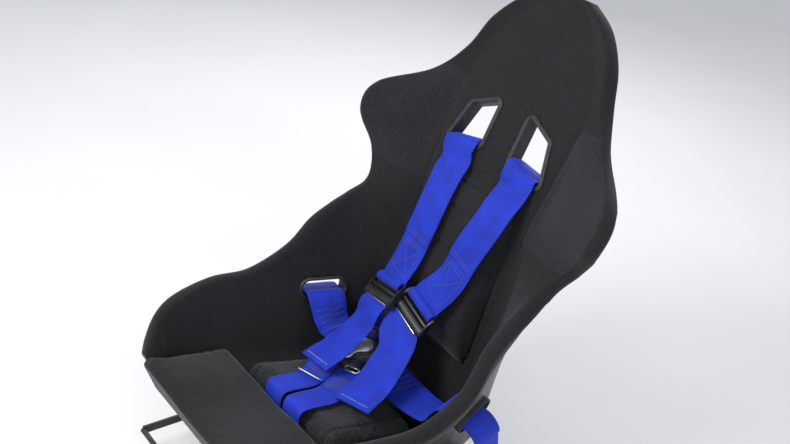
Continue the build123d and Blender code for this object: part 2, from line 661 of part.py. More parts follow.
for side, name in ((1, "left"), (-1, "right")):
    plane = lap_plane(side)
    slot_x = tuple(plane.x_dir)
    through = [(tuple(plane.from_local_coords(Vector(0, -7 * side, out))), slot_x) for out in (-22, 12, 44)]
    belt = tongue_end[f"lap_tongue_{name}"] + [((side * 158, 44, 204), (0, 1, 0))] + through
    belt += [((side * (lap_end_x - 6), lap_end_y - 2, 222), slot_x),
             ((side * lap_end_x, lap_end_y, lap_end_z), (0, 1, 0))]
    parts[f"lap_belt_{name}"] = strap(belt, webbing)

for x_mid, x_low, name in ((10, 29, "left"), (-48, -29, "right")):
    on_top = [((x, *cushion_top(y, clear)), x_axis)
              for x, y, clear in ((x_mid * 0.4 + x_low * 0.6, -92, 8.0), (x_low, -164, 3.6))]
    down = [((x_low, y, z), x_axis)
            for y, z in ((-172.5, 205), (-174, 178), (-179, 142), (crotch_end_y, crotch_end_z))]
    parts[f"crotch_strap_{name}"] = strap(tongue_end[f"crotch_tongue_{name}"] + on_top + down, narrow_webbing)

# Bolt-in plates on the free ends of the belts
anchors = []
for side in (1, -1):
    anchors.append(("shoulder", side, (side * strap_x, shoulder_end_y, shoulder_end_z), (0, 1, 0)))
    anchors.append(("lap", side, (side * lap_end_x, lap_end_y, lap_end_z), (1, 0, 0)))
for kind, side, end, facing in anchors:
    plane = Plane(origin=end, x_dir=Vector(0, 0, 1).cross(Vector(*facing)), z_dir=facing)
    outline = Pos(0, -anchor_long / 2 - 0.8) * RectangleRounded(anchor_wide, anchor_long, anchor_corner)
    outline -= Pos(0, -10) * Rectangle(webbing + 2, 6)
    outline -= Pos(0, -anchor_long * 0.62) * Circle(anchor_bolt / 2)
    name = "left" if side > 0 else "right"
    parts[f"{kind}_anchor_{name}"] = extrude(plane * outline, amount=anchor_thick / 2, both=True)
outline = Pos(0, -crotch_anchor_long / 2 - 0.8) * RectangleRounded(crotch_anchor_wide, crotch_anchor_long, 10)
outline -= Pos(0, -crotch_anchor_long * 0.6) * Circle(anchor_bolt / 2)
crotch_plane = Plane(origin=(0, crotch_end_y, crotch_end_z), x_dir=(1, 0, 0), z_dir=(0, -1, 0))
parts["crotch_anchor"] = extrude(crotch_plane * outline, amount=anchor_thick / 2, both=True)

# Side bolts through the brackets into the shell's bosses
head_radius, head_high = 7.0, 5.0
for side, name in ((1, "left"), (-1, "right")):
    bolts = []
    for y, z in ((boss_y_front, boss_z_front), (boss_y_back, boss_z_back)):
        start = side_mount_x + 0.3 + bracket_thick + 0.2
        bolt = Pos(start + head_high / 2, 0, 0) * Rot(0, 90, 0) * Cylinder(head_radius, head_high)
        bolt += Pos(start - 9, 0, 0) * Rot(0, 90, 0) * Cylinder(side_bolt / 2 - 0.2, 18)
        if side < 0:
            bolt = bolt.mirror(Plane.YZ)
        bolts.append(Pos(0, y, z) * bolt)
    parts[f"side_bolts_{name}"] = Compound(bolts)

os.makedirs("parts", exist_ok=True)
for name, solid in parts.items():
    export_step(solid, f"parts/{name}.step")
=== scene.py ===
import math

import bmesh
import bpy
import numpy as np
from mathutils import Matrix, Vector, kdtree, noise


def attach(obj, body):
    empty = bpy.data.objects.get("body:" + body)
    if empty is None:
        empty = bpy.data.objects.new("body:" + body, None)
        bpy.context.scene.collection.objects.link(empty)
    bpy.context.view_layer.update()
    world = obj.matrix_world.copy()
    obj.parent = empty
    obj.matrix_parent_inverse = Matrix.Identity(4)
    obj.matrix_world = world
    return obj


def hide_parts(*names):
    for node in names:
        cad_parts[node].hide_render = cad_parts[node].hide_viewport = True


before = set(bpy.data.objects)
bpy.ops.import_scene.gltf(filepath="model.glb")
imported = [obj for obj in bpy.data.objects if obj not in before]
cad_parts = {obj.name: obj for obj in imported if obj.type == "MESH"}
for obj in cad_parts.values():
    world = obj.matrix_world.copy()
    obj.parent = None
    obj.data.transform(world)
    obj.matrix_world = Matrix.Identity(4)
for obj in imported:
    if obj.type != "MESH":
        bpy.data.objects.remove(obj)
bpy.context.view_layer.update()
MM = 0.001


# Materials: a shader's sockets are written as sums, and everything is procedural

class Wire:
    """One socket of a material, which takes part in sums with numbers and other sockets."""

    def __init__(self, finish, socket):
        self.finish, self.socket = finish, socket

    def math(self, operation, other):
        return self.finish.node("Math", {"operation": operation}, {0: self, 1: other})

    def __add__(self, other):
        return self.math("ADD", other)

    def __rsub__(self, other):
        return (self * -1) + other

    def __mul__(self, other):
        return self.math("MULTIPLY", other)

    __radd__, __rmul__ = __add__, __mul__

    def between(self, low, high):
        """0 below low, 1 above high."""
        return self.finish.node("MapRange", {}, {"Value": self, "From Min": low, "From Max": high})


class Finish:
    """A material on the principled shader, with its fixed numbers and its varying sockets."""

    def __init__(self, name, **fixed):
        self.material = bpy.data.materials.new(name)
        self.material.use_nodes = True
        self.tree = self.material.node_tree
        self.surface = self.tree.nodes["Principled BSDF"]
        self.relief = None
        for key, value in fixed.items():
            self.surface.inputs[key.replace("_", " ").title().replace("Ior", "IOR")].default_value = value

    def node(self, kind, settings, inputs, out=0):
        node = self.tree.nodes.new("ShaderNode" + kind)
        for key, value in settings.items():
            setattr(node, key, value)
        for key, value in inputs.items():
            self.plug(value, node.inputs[key])
        return Wire(self, node.outputs[out])

    def plug(self, value, socket):
        if isinstance(value, Wire):
            self.tree.links.new(value.socket, socket)
        elif hasattr(value, "__len__") and len(value) == 3 and socket.type == "RGBA":
            socket.default_value = (*value, 1)
        else:
            socket.default_value = value

    def drive(self, **wires):
        for key, value in wires.items():
            self.plug(value, self.surface.inputs[key.replace("_", " ").title()])
        return self

    def place(self, space="Object"):
        return self.node("TexCoord", {}, {}, space)

    def noise(self, size, detail, stretch=None):
        at = self.place()
        if stretch:
            at = self.node("Mapping", {}, {"Vector": at, "Scale": stretch})
        return self.node("TexNoise", {}, {"Vector": at, "Scale": 1 / size, "Detail": detail})

    def cells(self, size):
        return self.node("TexVoronoi", {}, {"Vector": self.place(), "Scale": 1 / size})

    def waves(self, size, direction):
        """Bands of that size across a direction of the webbing's own coordinates."""
        own_size = math.pi / 10     # a band of the node at a scale of 1
        return self.node("TexWave", {"bands_direction": direction},
                         {"Vector": self.place("UV"), "Scale": own_size / size})

    def mix(self, share, low, high):
        return self.node("Mix", {"data_type": "RGBA"}, {0: share, 6: low, 7: high}, 2)

    def bump(self, height, depth, strength=1.0):
        """A bump of that depth in metres, over any bump given before."""
        inputs = {"Height": height, "Distance": depth, "Strength": strength}
        if self.relief:
            inputs["Normal"] = self.relief
        self.relief = self.node("Bump", {}, inputs)
        self.plug(self.relief, self.surface.inputs["Normal"])
        return self


def dark_cloth(name, cell, low, high, depth, sheen=0.1):
    """Knitted or meshed black cloth: cells of yarn, a soft mottle and a light sheen."""
    cloth = Finish(name, sheen_weight=sheen, sheen_roughness=0.5, specular_ior_level=0.2)
    yarn = cloth.cells(cell)
    speck = cloth.noise(0.0024, 3)
    broad = cloth.noise(0.11, 3)
    share = (speck * 0.8 + broad * 0.2).between(0.36, 0.66)
    cloth.drive(base_color=cloth.mix(share * (1.2 - yarn), low, high), roughness=0.82 + speck * 0.16)
    cloth.bump(yarn, depth, 0.5).bump(speck, depth * 0.6, 0.4)
    return cloth.material


knit = dark_cloth("black_knit", 0.0016, (0.0045, 0.0045, 0.0052), (0.02, 0.02, 0.0225), 0.0004)
mesh_cloth = dark_cloth("black_mesh", 0.0026, (0.004, 0.004, 0.0046), (0.026, 0.026, 0.03), 0.0004, 0.14)
grip_cloth = dark_cloth("grip_cloth", 0.0042, (0.006, 0.006, 0.0065), (0.04, 0.04, 0.044), 0.0011, 0.12)


def web_cloth():
    """Blue woven webbing: fine cords along the strap crossed by ribs, worn lighter in places."""
    cloth = Finish("blue_webbing", sheen_weight=0.22, sheen_roughness=0.35, sheen_tint=(0.35, 0.5, 1, 1),
                   specular_ior_level=0.3)
    cords = cloth.waves(0.0021, "X")
    ribs = cloth.waves(0.0013, "Y")
    weave = cords * 0.6 + ribs * 0.4
    broad = cloth.noise(0.035, 4)
    share = (weave * 0.5 + broad * 0.65).between(0.25, 0.95)
    cloth.drive(base_color=cloth.mix(share, (0.0025, 0.008, 0.15), (0.011, 0.042, 0.62)),
                roughness=0.6 + broad * 0.25)
    cloth.bump(weave, 0.0005, 0.6).bump(broad, 0.0018, 0.3)
    return cloth.material


webbing = web_cloth()


def thread_finish(name, low, high):
    """Stitching thread, twisted."""
    thread = Finish(name, sheen_weight=0.3, specular_ior_level=0.3)
    twist = thread.noise(0.0008, 2)
    thread.drive(base_color=thread.mix(twist, low, high), roughness=0.6 + twist * 0.2)
    return thread.material


def moulded(name, low, high, rough, grain=0.0009, depth=0.00012):
    """Moulded black plastic or gel coat with a fine grain and faint scuffs."""
    plastic = Finish(name, specular_ior_level=0.45)
    fine = plastic.noise(grain, 2)
    scuff = plastic.noise(0.018, 5, stretch=(1, 3, 1))
    plastic.drive(base_color=plastic.mix(scuff.between(0.45, 0.75), low, high),
                  roughness=rough + scuff * 0.2 + fine * 0.06)
    plastic.bump(fine, depth, 0.4)
    return plastic.material


def plated(name, low, high, rough, metallic=1.0):
    """Bare or plated metal: brushed fine lines, smudges and small marks."""
    metal = Finish(name, metallic=metallic)
    lines = metal.noise(0.0012, 3, stretch=(1, 1, 14))
    smudge = metal.noise(0.02, 4)
    metal.drive(base_color=metal.mix(smudge, low, high), roughness=rough + lines * 0.12 + smudge * 0.14)
    metal.bump(lines, 0.00008, 0.4)
    return metal.material


def coated(name, low, high, rough):
    """Powder coat over steel: an orange-peel surface that has rubbed paler here and there."""
    coat = Finish(name, specular_ior_level=0.5)
    peel = coat.noise(0.0022, 2)
    wear = coat.noise(0.03, 6).between(0.62, 0.78)
    coat.drive(base_color=coat.mix(wear, low, high), roughness=rough + peel * 0.12 + wear * 0.1,
               metallic=wear * 0.25)
    coat.bump(peel, 0.0002, 0.4)
    return coat.material


thread = thread_finish("olive_thread", (0.02, 0.03, 0.10), (0.11, 0.13, 0.2))
pale_thread = thread_finish("pale_thread", (0.25, 0.3, 0.5), (0.5, 0.56, 0.72))
shell_finish = moulded("black_gel_coat", (0.008, 0.008, 0.009), (0.02, 0.02, 0.021), 0.22, 0.004, 0.0003)
black_plastic = moulded("black_plastic", (0.012, 0.012, 0.013), (0.028, 0.028, 0.03), 0.38)
black_steel = coated("black_steel", (0.01, 0.01, 0.0105), (0.06, 0.06, 0.06), 0.32)
bright_steel = plated("bright_steel", (0.55, 0.56, 0.58), (0.8, 0.81, 0.83), 0.14)
satin_steel = plated("satin_steel", (0.5, 0.51, 0.53), (0.74, 0.75, 0.77), 0.36, 0.75)
zinc_steel = plated("zinc_steel", (0.42, 0.42, 0.41), (0.62, 0.62, 0.58), 0.28)
buckle_grey = moulded("buckle_grey", (0.05, 0.05, 0.055), (0.1, 0.1, 0.105), 0.35)


# Mesh helpers

def placed(name, data):
    """A new object in the scene."""
    item = bpy.data.objects.new(name, data)
    bpy.context.scene.collection.objects.link(item)
    return item


def make(name, points, faces, finish, body="seat", smooth=35):
    """A piece from points in metres, shaded smooth below an angle in degrees."""
    mesh = bpy.data.meshes.new(name)
    mesh.from_pydata([tuple(p) for p in points], [], faces)
    bm = bmesh.new()
    bm.from_mesh(mesh)
    bmesh.ops.remove_doubles(bm, verts=bm.verts, dist=1e-6)
    bmesh.ops.recalc_face_normals(bm, faces=bm.faces)
    bm.to_mesh(mesh)
    bm.free()
    mesh.shade_smooth()
    mesh.set_sharp_from_angle(angle=math.radians(smooth))
    piece = placed(name, mesh)
    mesh.materials.append(finish)
    if body:
        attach(piece, body)
    return piece


def loops_faces(count, size):
    """Quads between rings of equal size, with the first and last ring filled."""
    faces = []
    for i in range(count - 1):
        for j in range(size):
            k = (j + 1) % size
            faces.append((i * size + j, i * size + k, (i + 1) * size + k, (i + 1) * size + j))
    faces.append(tuple(range(size))[::-1])
    faces.append(tuple((count - 1) * size + j for j in range(size)))
    return faces


def lofted(name, rings, finish, body="seat", smooth=35):
    """A closed piece through rings of points."""
    points = [point for ring in rings for point in ring]
    return make(name, points, loops_faces(len(rings), len(rings[0])), finish, body, smooth)


def merged(name, parts):
    """Several pieces joined into one object."""
    with bpy.context.temp_override(active_object=parts[0], selected_editable_objects=parts,
                                   selected_objects=parts):
        bpy.ops.object.join()
    parts[0].name = name
    return parts[0]


def applied(piece, kind, **settings):
    """Applies a modifier to a piece."""
    step = piece.modifiers.new(kind.lower(), kind)
    for key, value in settings.items():
        setattr(step, key, value)
    with bpy.context.temp_override(object=piece, active_object=piece):
        bpy.ops.object.modifier_apply(modifier=step.name)


def cut(piece, plate, outline, low, high):
    """Takes a prism over an outline, between two heights above its plate, out of a piece."""
    rings = [[plate.at(x, y, z) for x, y in outline] for z in (low, high)]
    cutter = lofted("cutter", rings, black_plastic, body=None)
    applied(piece, "BOOLEAN", object=cutter, operation="DIFFERENCE", solver="EXACT")
    bpy.data.objects.remove(cutter)


# The seat's sections: the centre line, the rim and the side's shape, as in the part

sections = np.array([
    # floor_y, floor_z, rim_y, rim_z, flat, rim_x, corner
    (-328, 202, -342, 236, 168, 194, 22),
    (-306, 196, -308, 294, 170, 207, 40),
    (-255, 184, -260, 311, 172, 233, 46),
    (-160, 163, -174, 314, 174, 258, 48),
    (-50, 138, -89, 310, 175, 260, 50),
    (35, 124, -8, 345, 174, 255, 52),
    (112, 142, 35, 398, 168, 244, 54),
    (146, 238, 71, 427, 160, 238, 54),
    (168, 345, 109, 450, 152, 238, 52),
    (193, 452, 148, 474, 146, 244, 50),
    (205, 510, 170, 524, 142, 276, 50),
    (221, 560, 159, 589, 148, 311, 50),
    (241, 611, 186, 644, 152, 304, 50),
    (268, 680, 256, 691, 150, 227, 40),
    (298, 747, 289, 749, 140, 174, 40),
    (321, 810, 312, 812, 108, 146, 40),
    (341, 860, 333, 862, 66, 101, 36),
    (349, 892, 343, 894, 22, 48, 16),
], float)
MID_THIGH, HIP_FRONT, LUMBAR_LOW, UNDER_SHOULDER, SHOULDER_LOW, NECK = 3, 5, 7, 10, 11, 13
LINING, SHELL, GAP, DROP, HOOK, COVER = 18.0, 6.0, 0.4, 16.0, 24.0, 5.0


def row_at(t):
    """The section at a place between the table's rows, on a smooth curve through them."""
    i = min(int(t), len(sections) - 2)
    f = t - i
    a, b = sections[max(i - 1, 0)], sections[i]
    c, d = sections[i + 1], sections[min(i + 2, len(sections) - 1)]
    return 0.5 * (2 * b + (c - a) * f + (2 * a - 5 * b + 4 * c - d) * f ** 2
                  + (3 * b - a - 3 * c + d) * f ** 3)


class Section:
    """One section across the seat: local x across, local h from the floor towards the rim."""

    def __init__(self, t):
        self.t = t
        fy, fz, ry, rz, self.flat, self.rim_x, self.corner = row_at(t)
        self.height = math.hypot(ry - fy, rz - fz)
        self.up = np.array([0, ry - fy, rz - fz]) / self.height
        self.floor = np.array([0, fy, fz])
        ahead, behind = row_at(min(t + 0.25, len(sections) - 1)), row_at(max(t - 0.25, 0))
        along = np.array([ahead[0] - behind[0], ahead[1] - behind[1]])
        along /= np.linalg.norm(along)
        self.lean = max(abs(along[0] * self.up[2] - along[1] * self.up[1]), 0.35)
        self.turn = math.atan2(self.height, self.rim_x - self.flat)
        self.wall = np.array([math.cos(self.turn), math.sin(self.turn)])
        self.out = np.array([self.wall[1], -self.wall[0]])

    def point(self, x, h):
        return (self.floor + self.up * h + np.array([x, 0, 0])) * MM

    def corner_points(self, out, count):
        """The rounded corner between the floor and the side, moved outwards by out."""
        low = -out / self.lean
        px, py = self.flat + self.out[0] * out, self.out[1] * out
        qx = px + self.wall[0] * ((low - py) / self.wall[1])
        radius = self.corner + out
        tangent = radius * math.tan(self.turn / 2)
        centre = np.array([qx - tangent, low + radius])
        angles = -math.pi / 2 + np.linspace(0, 1, count) * self.turn
        return [centre + radius * np.array([math.cos(a), math.sin(a)]) for a in angles]

    def rim(self, out, shorten):
        return np.array([self.rim_x, self.height]) + self.out * out - self.wall * shorten


def seam_dip(distance, depth=2.2, width=5.0):
    """How far a panel or a cover sinks beside a seam."""
    return depth * math.exp(-(distance / width) ** 2)


# counts of points in a side panel's section: its corner, its wall and its rolled rim
corner_count, wall_count, roll_count = 9, 14, 10


def wing_ring(s, side, seams):
    """The closed section of one side panel, as in the part but with a rolled rim."""
    drop, hook, squash = (DROP, HOOK, 1.0) if s.height > 60 else (5.0, 6.0, 0.7)
    outer = LINING + SHELL + 2 * GAP
    roll = (outer + COVER) / 2
    face = s.corner_points(0, corner_count)
    start, end = face[-1], s.rim(0, roll * squash)
    for f in np.linspace(0, 1, wall_count + 1)[1:]:
        face.append(start + (end - start) * f - s.out * seams["swell"] * math.sin(math.pi * f))
    far = 0.0
    ring = []
    for i, p in enumerate(face):
        if i:
            far += np.linalg.norm(p - face[i - 1])
        dip = seam_dip(far, seams["beside"]) + seams["across"]
        angle = min(i / (corner_count - 1), 1) * s.turn - math.pi / 2
        ring.append(p + np.array([math.cos(angle), math.sin(angle)]) * dip)
    middle = end + s.out * roll
    for a in np.linspace(0, math.pi, roll_count + 1)[1:]:
        ring.append(middle - s.out * roll * math.cos(a) + s.wall * roll * math.sin(a) * squash)
    ring += [s.rim(outer + COVER, drop + hook - 2), s.rim(outer + COVER - 2, drop + hook),
             s.rim(outer, drop + hook), s.rim(outer, drop - GAP), s.rim(LINING, drop - GAP)]
    ring += s.corner_points(LINING, 4)[::-1]
    return [s.point(side * p[0], p[1]) for p in ring]


per_row = 8
steps = np.linspace(0, len(sections) - 1, (len(sections) - 1) * per_row + 1)
row_sections = [Section(t) for t in steps]
shoulder_seam, neck_seam = UNDER_SHOULDER - 0.25, NECK + 0.35


def seams_at(t):
    """How deep the seams are across a side panel and beside the centre panel, and the swell of the side."""
    across = seam_dip((t - shoulder_seam) * 50) + seam_dip((t - neck_seam) * 60, 1.6)
    beside = 2.4 if t < neck_seam else 0.0
    return {"across": across, "beside": beside, "swell": 3.0 if 1 < t < neck_seam else 0.0}


def centre_ring(s):
    """The closed section of the centre panel, sunk a little where it meets the sides."""
    reach, back_reach = (s.corner_points(out, 2)[0][0] - 0.15 for out in (0, LINING))
    ring = []
    for x in np.linspace(-1, 1, 29):
        x = math.copysign(abs(x) ** 0.8, x) * reach
        ring.append((x, -seam_dip(reach - abs(x), seams_at(s.t)["beside"])))
    for x in np.linspace(1, -1, 5):
        ring.append((x * back_reach, -LINING / s.lean))
    return [s.point(*p) for p in ring]


centre = lofted("centre_panel", [centre_ring(s) for s in row_sections], knit)
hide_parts("centre_lining")
both_sides = ((1, "left"), (-1, "right"))
side_panels = {}
for side, name in both_sides:
    rings = [wing_ring(s, side, seams_at(s.t)) for s in row_sections]
    panel = lofted(f"side_panel_{name}", rings, knit)
    panel.data.materials.append(mesh_cloth)
    # mesh cloth on the face between the two seams
    for face in panel.data.polygons:
        row, column = divmod(face.index, len(rings[0]))
        if shoulder_seam * per_row <= row < neck_seam * per_row and column < corner_count + wall_count:
            face.material_index = 1
    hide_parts(f"side_lining_{name}")
    side_panels[side] = panel


# Slots through the lining: the shoulder slots, the lap slots and the crotch slot

def rounded(points, radius, steps):
    """A closed outline whose corners are rounded."""
    result = []
    count = len(points)
    for i in range(count):
        before, at, after = (np.array(points[j % count], float) for j in (i - 1, i, i + 1))
        a, b = before - at, after - at
        a /= np.linalg.norm(a)
        b /= np.linalg.norm(b)
        half = math.acos(np.clip(a @ b, -1, 1)) / 2
        reach = radius / math.tan(half)
        centre = at + (a + b) / np.linalg.norm(a + b) * radius / math.sin(half)
        start, end = at + a * reach - centre, at + b * reach - centre
        swing = math.atan2(start[0] * end[1] - start[1] * end[0], start @ end)
        for f in np.linspace(0, 1, steps):
            c, s = math.cos(swing * f), math.sin(swing * f)
            result.append(centre + np.array([start[0] * c - start[1] * s, start[0] * s + start[1] * c]))
    return np.array(result)


def oblong(half_long, half_high, radius, steps):
    """The outline of an oblong with rounded corners."""
    corners = [(x * half_long, y * half_high) for x, y in ((-1, -1), (1, -1), (1, 1), (-1, 1))]
    return rounded(corners, radius, steps)


class Plate:
    """A flat place in space, for outlines: its middle, its x and y directions and its normal."""

    def __init__(self, origin, x, normal):
        self.origin = np.array(origin, float)
        self.normal = np.array(normal, float) / np.linalg.norm(normal)
        x = np.array(x, float)
        x -= self.normal * (x @ self.normal)
        self.x = x / np.linalg.norm(x)
        self.y = np.cross(self.normal, self.x)

    def at(self, x, y, z=0.0):
        return (self.origin + self.x * x + self.y * y + self.normal * z) * MM


def profile_ring(name, plate, outline, profile, finish):
    """A moulding that follows an outline: profile rows are outwards and forwards of it."""
    count = len(outline)
    outward = grown_outline(outline, 1.0) - outline
    points = [plate.at(*(p + n * grow), z) for p, n in zip(outline, outward) for grow, z in profile]
    size = len(profile)
    faces = []
    for i in range(count):
        for j in range(size):
            a, b = i * size + j, i * size + (j + 1) % size
            c, d = ((i + 1) % count) * size + (j + 1) % size, ((i + 1) % count) * size + j
            faces.append((a, b, c, d))
    return make(name, points, faces, finish, smooth=50)


def grown_outline(outline, by):
    """An outline moved outwards along its normals."""
    after = np.roll(outline, -1, 0) - outline
    before = outline - np.roll(outline, 1, 0)
    along = after / np.linalg.norm(after, axis=1)[:, None] + before / np.linalg.norm(before, axis=1)[:, None]
    along /= np.linalg.norm(along, axis=1)[:, None]
    outward = np.stack([along[:, 1], -along[:, 0]], 1)
    if (outward * (outline - outline.mean(0))).sum() < 0:
        outward = -outward
    return outline + outward * by


slot_clear = 3      # the lining's holes are this much larger than the mouldings' openings
slot_face = Plate((0, 233.391, 592.0), (1, 0, 0), (0, -0.927974, 0.372646))
for side, name in both_sides:
    corners = [(side * x, y) for x, y in ((40, 15), (120, 0), (98, 77), (40, 103))]
    outline = rounded(corners, 5, 6)
    cut(centre, slot_face, grown_outline(outline, slot_clear), -60, 40)
    profile = [(0, -26), (0, 1.6), (0.4, 3.0), (1.4, 4.2), (2.6, 4.6), (3.8, 4.2), (4.7, 3.3), (5.4, 3.2),
               (6.2, 3.8), (7.2, 4.0), (8.4, 3.3), (9, 1.8), (9, 0.7), (3, 0.6), (3, -26)]
    bezel = profile_ring(f"shoulder_bezel_{name}", slot_face, outline, profile, black_plastic)
    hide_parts(f"shoulder_slot_bezel_{name}")

lap_yaw, lap_flare = -0.3095985, 0.23157
for side, name in both_sides:
    place = Plate((side * 212.126, 48, 258), (side * lap_yaw, 1, 0), (side, -lap_yaw, -lap_flare))
    outline = oblong(44, 17, 16.6, 10)
    cut(side_panels[side], place, grown_outline(outline, slot_clear), -40, 70)
    profile = [(0, 30), (0, -6), (0.6, -8.4), (2.4, -9.6), (4.6, -9.2), (6.6, -7.4), (7, -5.6), (2.8, -5.4),
               (2.8, 30)]
    sleeve = profile_ring(f"lap_sleeve_{name}", place, outline, profile, black_plastic)
    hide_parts(f"lap_slot_sleeve_{name}")

crotch_lean = math.radians(12.60266)
crotch_face = Plate((0, -170, 165.21), (1, 0, 0), (0, math.sin(crotch_lean), math.cos(crotch_lean)))
outline = oblong(66, 9, 8.8, 10)
cut(centre, crotch_face, grown_outline(outline, slot_clear), -60, 30)
profile = [(0, -27.5), (0, -0.8), (0.6, -0.1), (2, 0), (2.6, -0.5), (2.6, -25.2), (5.6, -25.2), (6, -25.8),
           (5.6, -27.8), (0.6, -27.9)]
sleeve = profile_ring("crotch_sleeve", crotch_face, outline, profile, black_plastic)
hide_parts("crotch_slot_sleeve")


# Cushions: foam pads in sewn covers, glued or tied to the lining. Each is a closed form that a short cloth
# simulation fills, with its underside held flat. The sewn channels and small creases are pulled in after it.

def inflated(piece, front, cap, voxel=5.0, pressure=4.0, frames=20):
    """Fills a pad: no point moves further than cap mm, and points that face the lining stay."""
    scene = bpy.context.scene
    mesh = piece.data
    applied(piece, "REMESH", mode="VOXEL", voxel_size=voxel * MM)
    start = np.array([v.co for v in mesh.vertices])
    facing = np.array([v.normal for v in mesh.vertices]) @ np.array(front)
    cloth = piece.modifiers.new("air", "CLOTH")
    cloth.settings.use_pressure = True
    cloth.settings.uniform_pressure_force = pressure
    cloth.settings.effector_weights.gravity = 0
    for frame_number in range(1, frames + 1):
        scene.frame_set(frame_number)
    ready = piece.evaluated_get(bpy.context.evaluated_depsgraph_get())
    end = np.array([v.co for v in ready.data.vertices])
    piece.modifiers.remove(cloth)
    scene.frame_set(1)
    move = end - start
    far = np.linalg.norm(move, axis=1)[:, None]
    move *= np.minimum(1, cap * MM / np.maximum(far, 1e-9))
    move *= np.clip((facing + 0.1) / 0.6, 0, 1)[:, None]
    mesh.vertices.foreach_set("co", (start + move).ravel())
    mesh.update()
    applied(piece, "SUBSURF", levels=1)
    mesh.shade_smooth()


def pulled_in(piece, spots, dips, front, crease=0.7):
    """Sinks the cover where it is sewn. dips take a place on the pad, u across and v along, and give mm."""
    tree = kdtree.KDTree(len(spots))
    for i, (point, u, v) in enumerate(spots):
        tree.insert(point, i)
    tree.balance()
    places = []
    for place, normal in [(v.co.copy(), v.normal.copy()) for v in piece.data.vertices]:
        if normal @ Vector(front) >= 0.15:
            near = tree.find_n(place, 4)
            weights = [1 / (far + 1e-5) for co, i, far in near]
            u, v = (sum(w * spots[i][k] for w, (co, i, far) in zip(weights, near)) / sum(weights)
                    for k in (1, 2))
            sink = dips(u, v) + noise.fractal(place * 14, 0.9, 2.1, 4) * crease
            place = place - normal * sink * MM
        places.append(place)
    piece.data.vertices.foreach_set("co", [c for place in places for c in place])
    piece.data.update()


def pad(name, t_low, t_high, half_wide, thick, finish, front, cap, inset=2.5, across=46, along=80):
    """A pad between two places of the seat. half_wide and thick: rows of place (0 to 1) and size."""
    grid, base, spots = [], [], []
    places_across = np.linspace(-1, 1, across + 1)
    for v in np.linspace(0, 1, along + 1):
        s = Section(t_low + (t_high - t_low) * v)
        half = np.interp(v, *zip(*half_wide)) - inset
        deep = (np.interp(v, *zip(*thick)) - inset) / s.lean
        end = max(1 - abs(2 * v - 1) ** 14, 0) ** 0.4
        row = []
        for u in places_across:
            edge = max(1 - abs(u) ** 14, 0) ** 0.4
            pull = 1 - 0.025 * math.sin(math.pi * v) * abs(u) ** 3
            row.append(s.point(u * half * pull, deep * (0.3 + 0.7 * edge * end) + 0.8 / s.lean))
            spots.append((Vector(row[-1]), u, v))
        grid.append(row)
        base.append([s.point(u * half, 0.7 / s.lean) for u in places_across])
    size = across + 1
    points = [p for row in grid + base for p in row]
    shift = (along + 1) * size
    faces = []
    for i in range(along):
        for j in range(across):
            a, b, c, d = i * size + j, i * size + j + 1, (i + 1) * size + j + 1, (i + 1) * size + j
            faces += [(a, b, c, d), (shift + d, shift + c, shift + b, shift + a)]
        for j in (0, across):
            a, d = i * size + j, (i + 1) * size + j
            faces.append((a, d, shift + d, shift + a))
    for j in range(across):
        for i in (0, along):
            a, b = i * size + j, i * size + j + 1
            faces.append((a, b, shift + b, shift + a))
    piece = make(name, points, faces, finish, body=None, smooth=60)
    inflated(piece, front, cap)
    return piece, spots


def dressed(piece, node):
    """A pad rides on the seat and stands for its solid."""
    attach(piece, "seat")
    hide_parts(node)


back_front = (0, -0.94, 0.34)
back, spots = pad("back_pad", LUMBAR_LOW, SHOULDER_LOW,
                  [(0, 112), (0.25, 116), (0.5, 114), (0.75, 110), (1, 102)],
                  [(0, 24), (0.25, 30), (0.5, 27), (0.75, 20), (1, 5)], knit, back_front, cap=6)
pulled_in(back, spots, lambda u, v: sum(seam_dip(v - at, 5, 0.018) for at in (0.4, 0.685, 0.9))
          + seam_dip(abs(u) - 0.62, 3, 0.03) * (0.4 < v < 0.9), back_front)
dressed(back, "back_cushion")

up_front = (0, 0, 1)
base, spots = pad("base_pad", MID_THIGH, HIP_FRONT,
                  [(0, 138), (0.5, 138), (1, 132)], [(0, 42), (1, 42)], grip_cloth, up_front, cap=6)
pulled_in(base, spots, lambda u, v: seam_dip(v - 0.55, 4, 0.02) + seam_dip(abs(u) - 0.8, 2.5, 0.025),
          up_front)
dressed(base, "base_cushion")

# The leg cushion is a thick wedge under the thighs, with a trough for the legs, wider at its top than at its
# foot. Its cover runs over the front of the seat and down outside the lip, where it hangs as an apron.
# leg_loop goes round it in side view: a point, the half width, the trough's depth and the way up there.
leg_back = 2.8
leg_rows = [(0, 146, 40, 34, 12), (1, 145, 32, 40, 12), (2, 147, 36, 42, 9), (leg_back, 149, 36, 42, 6)]
leg_steps, nose_steps, apron_steps = 29, 8, 12
apron_half, apron_low, apron_out, nose_radius = 182, -37, 11, 9
lip = Section(0)
lip_ahead = np.array([0, -0.924678, -0.38075])


def by_lip(rise, ahead, half, dip):
    """A row of leg_loop that far above the lip's floor and ahead of it."""
    return lip.floor + lip.up * rise + lip_ahead * ahead, half, dip, lip.up


